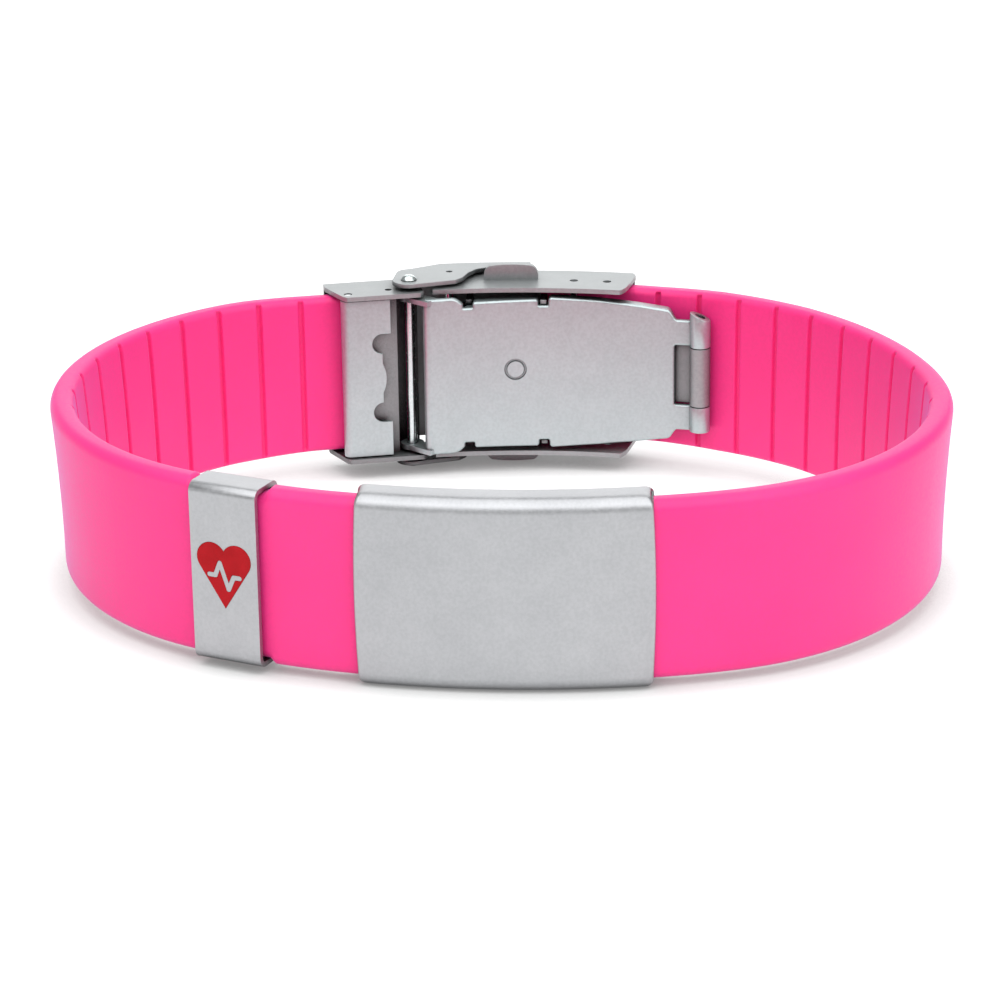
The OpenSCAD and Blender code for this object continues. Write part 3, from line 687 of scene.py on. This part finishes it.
def finishSheet(bm, name, node, finish):
    mesh = bpy.data.meshes.new(name)
    bm.to_mesh(mesh)
    bm.free()
    mesh.shade_smooth()
    mesh.set_sharp_from_angle(angle=math.radians(sheetShading["sharpFrom"]))
    obj = bpy.data.objects.new(name, mesh)
    bpy.context.scene.collection.objects.link(obj)
    even = obj.modifiers.new("evenShading", "WEIGHTED_NORMAL")
    even.keep_sharp = True
    even.weight = sheetShading["weight"]
    mesh.materials.append(finish)
    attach(obj, "bracelet")
    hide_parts(node)
    return obj


def bladePlace(s):
    # the tip and the hinge as seen from the crown, and the centre of the bend between them
    (x, y), heading = strapSpot(rightLength - s["hingeBack"])
    off = strapSizes["thickness"] / 2 + s["knuckleGap"] + s["knuckle"]
    hinge = Vector((x, y)) + off * inwardOf(heading) - crown
    tip = Vector(s["tip"])
    way = hinge - tip
    rise = math.sqrt((s["bend"] + s["knuckleOver"]) ** 2 - way.length_squared / 4)
    centre = (tip + hinge) / 2 + rise * Vector((way.y, -way.x)).normalized()
    return tip, hinge, centre


def bladeOutline(s, tip, hinge, wrap):
    # the sheet's outline before it is bent, with its window between the knuckles
    length, h, tall = hinge.x - tip.x, s["halfHeight"], s["middleKnuckle"]
    windowX, neckX = hinge.x - s["windowBack"], hinge.x - s["knuckleGrip"]
    upper = [(tip.x - wrap, s["tabHeight"] * h, s["tabCorner"])]
    upper += [(tip.x + at * length, up * h, r) for at, up, r in s["edge"]]
    upper += [(tip.x + s["neckFrom"] * length, s["neck"], s["tabCorner"]), (neckX, s["neck"], 0),
              (neckX, tall, 0), (windowX, tall, s["windowCorner"])]
    return roundedPath(upper + [(x, -z, r) for x, z, r in reversed(upper)])


def pressSheet(bm, s, path, ringAt):
    # the flat sheet as (along, deep, up), with its folded edges and its pressed ring
    rows = quarterRound(s["fold"], s["foldSteps"])
    rows += [(0, s["deep"]), (s["wall"] / 2, s["deep"] + s["wallBulge"]), (s["wall"], s["deep"]),
             (s["wall"], s["sheet"])]
    rings = [[bm.verts.new((p.x, deep, p.y)) for p in insetPath(path, inset)] for inset, deep in rows]
    joinRings(bm, rings)
    pressed = [[bm.verts.new((p.x, deep, p.y)) for p in circlePath(r, s["ringSteps"], ringAt)]
               for r, deep in s["ring"]]
    joinRings(bm, pressed)
    bm.faces.new(pressed[-1])
    fillBetween(bm, [rings[0], pressed[0]])
    bm.faces.new(rings[-1])


def cutSheet(bm, cuts):
    for x in cuts:
        cutAcross(bm, 0, x)
    # the flat front keeps only the cuts across it, so that it bends and shades evenly
    flatWithin, straightWithin = 1e-6, 1e-4
    front = {f for f in bm.faces if all(abs(v.co.y) < flatWithin for v in f.verts)}
    spare = [e for e in bm.edges if len(e.link_faces) == 2 and set(e.link_faces) <= front
             and abs(e.verts[0].co.x - e.verts[1].co.x) > straightWithin]
    bmesh.ops.dissolve_edges(bm, edges=spare, use_verts=False)


def bendSheet(bm, s, tip, length, centre):
    for v in bm.verts:
        x, deep, z = v.co
        # the tab and the neck are plain sheet, and only the tray between them is deep
        along = (x - tip.x) / length
        thin = clip(max(along - s["trayEnds"], s["tabEnds"] - along) / s["trayEase"])
        if deep > s["sheet"]:
            deep += (s["sheet"] - deep) * thin
        if x < tip.x:
            a = (tip.x - x) / s["curl"]
            x = tip.x - (s["curl"] - deep) * math.sin(a)
            deep = s["curl"] - (s["curl"] - deep) * math.cos(a)
        v.co = (x, centre.y + math.sqrt((s["bend"] + deep) ** 2 - (x - centre.x) ** 2), z)


def makeBlade(s):
    tip, hinge, centre = bladePlace(s)
    length, tall = hinge.x - tip.x, s["middleKnuckle"]
    wrap = s["curl"] * math.radians(s["curlTurn"])
    bm = bmesh.new()
    pressSheet(bm, s, bladeOutline(s, tip, hinge, wrap), (tip.x + s["ringAt"] * length, s["ringUp"]))
    cutSheet(bm, [tip.x - wrap * k / s["curlSteps"] for k in range(s["curlSteps"])]
             + [tip.x + length * k / s["bendSteps"] for k in range(1, s["bendSteps"])])
    bendSheet(bm, s, tip, length, centre)
    addTube(bm, s, hinge, tall, s["neck"] + s["rollRise"], s["rollFall"])
    addTube(bm, s, hinge, -s["neck"], -tall)
    for z0 in (s["earFrom"], -s["earFrom"] - s["earSheet"]):
        addEar(bm, s, z0)
    bmesh.ops.remove_doubles(bm, verts=bm.verts, dist=s["weldWithin"])
    bmesh.ops.recalc_face_normals(bm, faces=bm.faces)
    for v in bm.verts:
        v.co = Vector((crown.x + v.co.x, crown.y + v.co.y, strapSizes["claspHeight"] + v.co.z)) * mm
    return finishSheet(bm, "innerTray", "inner_blade", bladeSatin)


blade = makeBlade(bladeSizes)
print("inner blade made:", len(blade.data.polygons), "faces")


# id plate: a channel bent round the strap's front, with wide soft folds and slightly bulging ends

plateSizes = {
    "length": 25.3,
    "half": 8.6,
    "sheet": 0.5,
    "slack": 0.08,
    "lip": 1.4,
    "frontFold": 1.3,
    "backFold": 0.5,
    "bulge": 130.0,
    "corner": 0.8,
    "innerCorner": 0.1,
    "lipCorner": 0.15,
    "edge": 0.2,
    "edgeSteps": 4,
    "across": 28,
    "step": 1.2,
}


def makePlate(s):
    inner = strapSizes["thickness"] / 2 + s["slack"]
    outer = inner + s["sheet"]
    h, w = s["half"], s["half"] - s["sheet"]
    lip = w - s["lip"]
    big, small, end, tight = s["frontFold"], s["backFold"], s["lipCorner"], s["innerCorner"]
    # clockwise with the outward offset to the right and up on top
    top = [(-inner, lip, end), (-outer, lip, end), (-outer, h, small), (outer, h, big)]
    bottom = [(q, -z, r) for q, z, r in reversed(top)]
    within = [(-inner, -w, tight), (inner, -w, big - s["sheet"]), (inner, w, big - s["sheet"]),
              (-inner, w, tight)]
    path = splitLong(roundedPath(top + bottom + within), s["step"])

    def spot(share, inset, q, z):
        over = min(s["corner"], max(0, abs(z) - h + s["corner"]))
        short = z * z / (2 * s["bulge"]) + s["corner"] - math.sqrt(s["corner"] ** 2 - over ** 2)
        x = share * (s["length"] / 2 - short) - math.copysign(inset, share)
        radius = strapSizes["frontRadius"] + q
        y = frontY + strapSizes["frontRadius"] - math.sqrt(radius ** 2 - x * x)
        return ((strapSizes["frontShift"] + x) * mm, y * mm, (strapSizes["plateHeight"] + z) * mm)

    rim = quarterRound(s["edge"], s["edgeSteps"])
    rows = [(-1, inset, cut) for cut, inset in rim]
    rows += [(2 * k / s["across"] - 1, 0, 0) for k in range(1, s["across"])]
    rows += [(1, inset, cut) for cut, inset in reversed(rim)]
    bm = bmesh.new()
    rings = [[bm.verts.new(spot(share, inset, p.x, p.y)) for p in insetPath(path, cut)]
             for share, inset, cut in rows]
    joinRings(bm, rings)
    bm.faces.new(rings[0])
    bm.faces.new(rings[-1])
    bmesh.ops.recalc_face_normals(bm, faces=bm.faces)
    return finishSheet(bm, "curvedPlate", "id_plate", plateSatin)


plate = makePlate(plateSizes)
print("id plate made:", len(plate.data.polygons), "faces")


# slider: the frame's own sleeve with wider, softer folds

sleeveSizes = {
    "halfDepth": 2.0,
    "halfHeight": 8.0,
    "fold": 0.42,
    "softFold": 0.85,
    "steps": 7,
    "edge": 0.09,
    "edgeSteps": 2,
    "sharpFrom": 50.0,
    "flatWithin": 0.3,
    "weldWithin": 1e-3,
}


def softenFold(q, z, s):
    # moves a point of the section from the narrow fold to the wide one
    wide, narrow = s["softFold"], s["fold"]
    u, v = s["halfDepth"] - abs(q), s["halfHeight"] - abs(z)
    if u >= wide or v >= wide:
        return q, z
    inCorner = u < narrow and v < narrow
    deep = narrow - math.hypot(narrow - u, narrow - v) if inCorner else min(u, v)
    arm = Vector((wide - u, wide - v)).normalized() * (wide - deep)
    return (math.copysign(s["halfDepth"] - wide + arm.x, q),
            math.copysign(s["halfHeight"] - wide + arm.y, z))


def makeSleeve(s):
    (x, y), heading = strapSpot(strapSizes["sliderAt"])
    a = math.radians(heading)
    along, out = Vector((math.cos(a), math.sin(a), 0)), Vector((math.sin(a), -math.cos(a), 0))
    bm = bmesh.new()
    bm.from_mesh(nodes["slider"].data)
    heights = [v.co.z for v in bm.verts]
    middle = Vector((x, y, (min(heights) + max(heights)) / 2 / mm))
    # the section is worked on in the sleeve's own directions, in mm
    for v in bm.verts:
        off = v.co / mm - middle
        v.co = (off.dot(along), off.dot(out), off.z)
    bmesh.ops.remove_doubles(bm, verts=bm.verts, dist=s["weldWithin"])
    bmesh.ops.dissolve_limit(bm, angle_limit=math.radians(s["flatWithin"]), verts=bm.verts, edges=bm.edges)
    for k in range(s["steps"] + 1):
        cut = s["softFold"] * k / s["steps"]
        for axis, half in ((1, s["halfDepth"]), (2, s["halfHeight"])):
            cutAcross(bm, axis, cut - half)
            cutAcross(bm, axis, half - cut)
    for v in bm.verts:
        t, q, z = v.co
        v.co = (t, *softenFold(q, z, s))
    bmesh.ops.remove_doubles(bm, verts=bm.verts, dist=s["weldWithin"])
    sharp = math.radians(s["sharpFrom"])
    edges = [e for e in bm.edges if len(e.link_faces) == 2 and e.calc_face_angle(0) > sharp]
    bmesh.ops.bevel(bm, geom=edges, offset=s["edge"], segments=s["edgeSteps"], affect="EDGES",
                    profile=0.5, clamp_overlap=True)
    bmesh.ops.recalc_face_normals(bm, faces=bm.faces)
    for v in bm.verts:
        v.co = (middle + along * v.co.x + out * v.co.y + Vector((0, 0, v.co.z))) * mm
    return finishSheet(bm, "slidingSleeve", "slider", satin)


sleeve = makeSleeve(sleeveSizes)
print("slider made:", len(sleeve.data.polygons), "faces")


# the frame's own pieces: rounded edges and a finish each

# a finish and the width of the rounded edges in mm
pieceLooks = {
    "enamel": (enamel, 0.03),
    # the clamp box, outer blade and flip lock take the pit steel, whose painted shade darkens them
    "clamp_box": (pitShadedSatin, 0.11),
    "flap": (bladeSatin, 0.11),
    "outer_blade": (pitShadedSatin, 0.09),
    "cover": (claspSatin, 0.11),
    "flip_lock": (pitShadedSatin, 0.11),
    "flap_pin": (polished, 0.05),
    "hinge_pin": (polished, 0.05),
    "cover_pin": (polished, 0.06),
    "strap_bar": (polished, 0.05),
    "catch_pin": (headSatin, 0.05),
}
rounding = {"weldWithin": 0.001, "flatWithin": 0.3, "edgeFrom": 32.0, "steps": 2, "weight": 60}


def roundEdges(obj, width, s):
    weld = obj.modifiers.new("weldSeams", "WELD")
    weld.merge_threshold = s["weldWithin"] * mm
    flat = obj.modifiers.new("wholeFaces", "DECIMATE")
    flat.decimate_type = "DISSOLVE"
    flat.angle_limit = math.radians(s["flatWithin"])
    bevel = obj.modifiers.new("roundedEdges", "BEVEL")
    bevel.width = width * mm
    bevel.segments = s["steps"]
    bevel.limit_method = "ANGLE"
    bevel.angle_limit = math.radians(s["edgeFrom"])
    bevel.use_clamp_overlap = True
    bevel.loop_slide = True
    even = obj.modifiers.new("evenShading", "WEIGHTED_NORMAL")
    even.keep_sharp = False
    even.weight = s["weight"]


for name, (finish, width) in pieceLooks.items():
    obj = nodes[name]
    obj.data.materials.clear()
    obj.data.materials.append(finish)
    obj.data.shade_smooth()
    roundEdges(obj, width, rounding)
print("pieces of the frame dressed:", len(pieceLooks))


# floor, light and camera

floorLook = {
    "size": 4.0,
    "color": (0.22, 0.22, 0.22),
    "roughness": 0.9,
    "shine": 0.1,
    "glow": 1.0,
    "shade": 0.2,
    "shadeReach": 5.5 * mm,
}


def makeFloor(look):
    h = look["size"] / 2
    mesh = bpy.data.meshes.new("floor")
    mesh.from_pydata([(-h, -h, 0), (h, -h, 0), (h, h, 0), (-h, h, 0)], [], [(0, 1, 2, 3)])
    obj = bpy.data.objects.new("floor", mesh)
    bpy.context.scene.collection.objects.link(obj)
    mat, tree, shader, place = newMaterial("paleFloor")
    shader.inputs["Base Color"].default_value = (*look["color"], 1)
    shader.inputs["Roughness"].default_value = look["roughness"]
    shader.inputs["Specular IOR Level"].default_value = look["shine"]
    # a lit studio table: it glows evenly and is shaded only close to what stands on it
    shader.inputs["Emission Strength"].default_value = look["glow"]
    tree.links.new(addGapShade(tree, look["shade"], look["shadeReach"]), shader.inputs["Emission Color"])
    mesh.materials.append(mat)


makeFloor(floorLook)

lightPlan = {
    "world": 0.33,
    "key": {"at": (-0.3, -0.7, 0.6), "size": 0.7, "power": 1.3},
    "fill": {"at": (0.65, -0.45, 0.45), "size": 0.7, "power": 2.2},
    "top": {"at": (0.0, -0.3, 0.95), "size": 1.6, "power": 14.0},
    "back": {"at": (0.0, 0.85, 0.42), "size": 0.8, "power": 2.8},
}


def addSoftbox(name, at, size, power, aim=(0, 0, 0.01)):
    lamp = bpy.data.lights.new(name, "AREA")
    lamp.shape = "SQUARE"
    lamp.size = size
    lamp.energy = power
    obj = bpy.data.objects.new(name, lamp)
    obj.location = at
    obj.rotation_euler = (Vector(aim) - Vector(at)).to_track_quat("-Z", "Y").to_euler()
    bpy.context.scene.collection.objects.link(obj)


for name in ("key", "fill", "top", "back"):
    addSoftbox(name + "Light", **lightPlan[name])

world = bpy.data.worlds.new("studio")
bpy.context.scene.world = world
world.use_nodes = True
sky = world.node_tree.nodes["Background"]
sky.inputs["Color"].default_value = (1, 1, 1, 1)
sky.inputs["Strength"].default_value = lightPlan["world"]
bpy.context.scene.view_settings.view_transform = "Standard"

cameraPlan = {
    "aim": (0.49 * mm, -10.14 * mm, 9.5 * mm),
    "azimuth": 3.947,
    "elevation": 19.725,
    "roll": -0.815,
    "distance": 317.2 * mm,
    "lens": 128.79,
    "sensor": 36,
    "clip": (0.01, 10),
}


def placeCamera(plan):
    a, e, r = (math.radians(plan[k]) for k in ("azimuth", "elevation", "roll"))
    back = Vector((math.sin(a) * math.cos(e), -math.cos(a) * math.cos(e), math.sin(e)))
    side = Vector((math.cos(a), math.sin(a), 0))
    up = back.cross(side)
    right = side * math.cos(r) + up * math.sin(r)
    top = up * math.cos(r) - side * math.sin(r)
    data = bpy.data.cameras.new("photoCamera")
    data.lens = plan["lens"]
    data.sensor_width = plan["sensor"]
    data.clip_start, data.clip_end = plan["clip"]
    obj = bpy.data.objects.new("photoCamera", data)
    spot = Vector(plan["aim"]) + back * plan["distance"]
    turn = Matrix((right, top, back)).transposed().to_4x4()
    obj.matrix_world = Matrix.Translation(spot) @ turn
    bpy.context.scene.collection.objects.link(obj)
    bpy.context.scene.camera = obj


placeCamera(cameraPlan)
print("camera and lights placed")
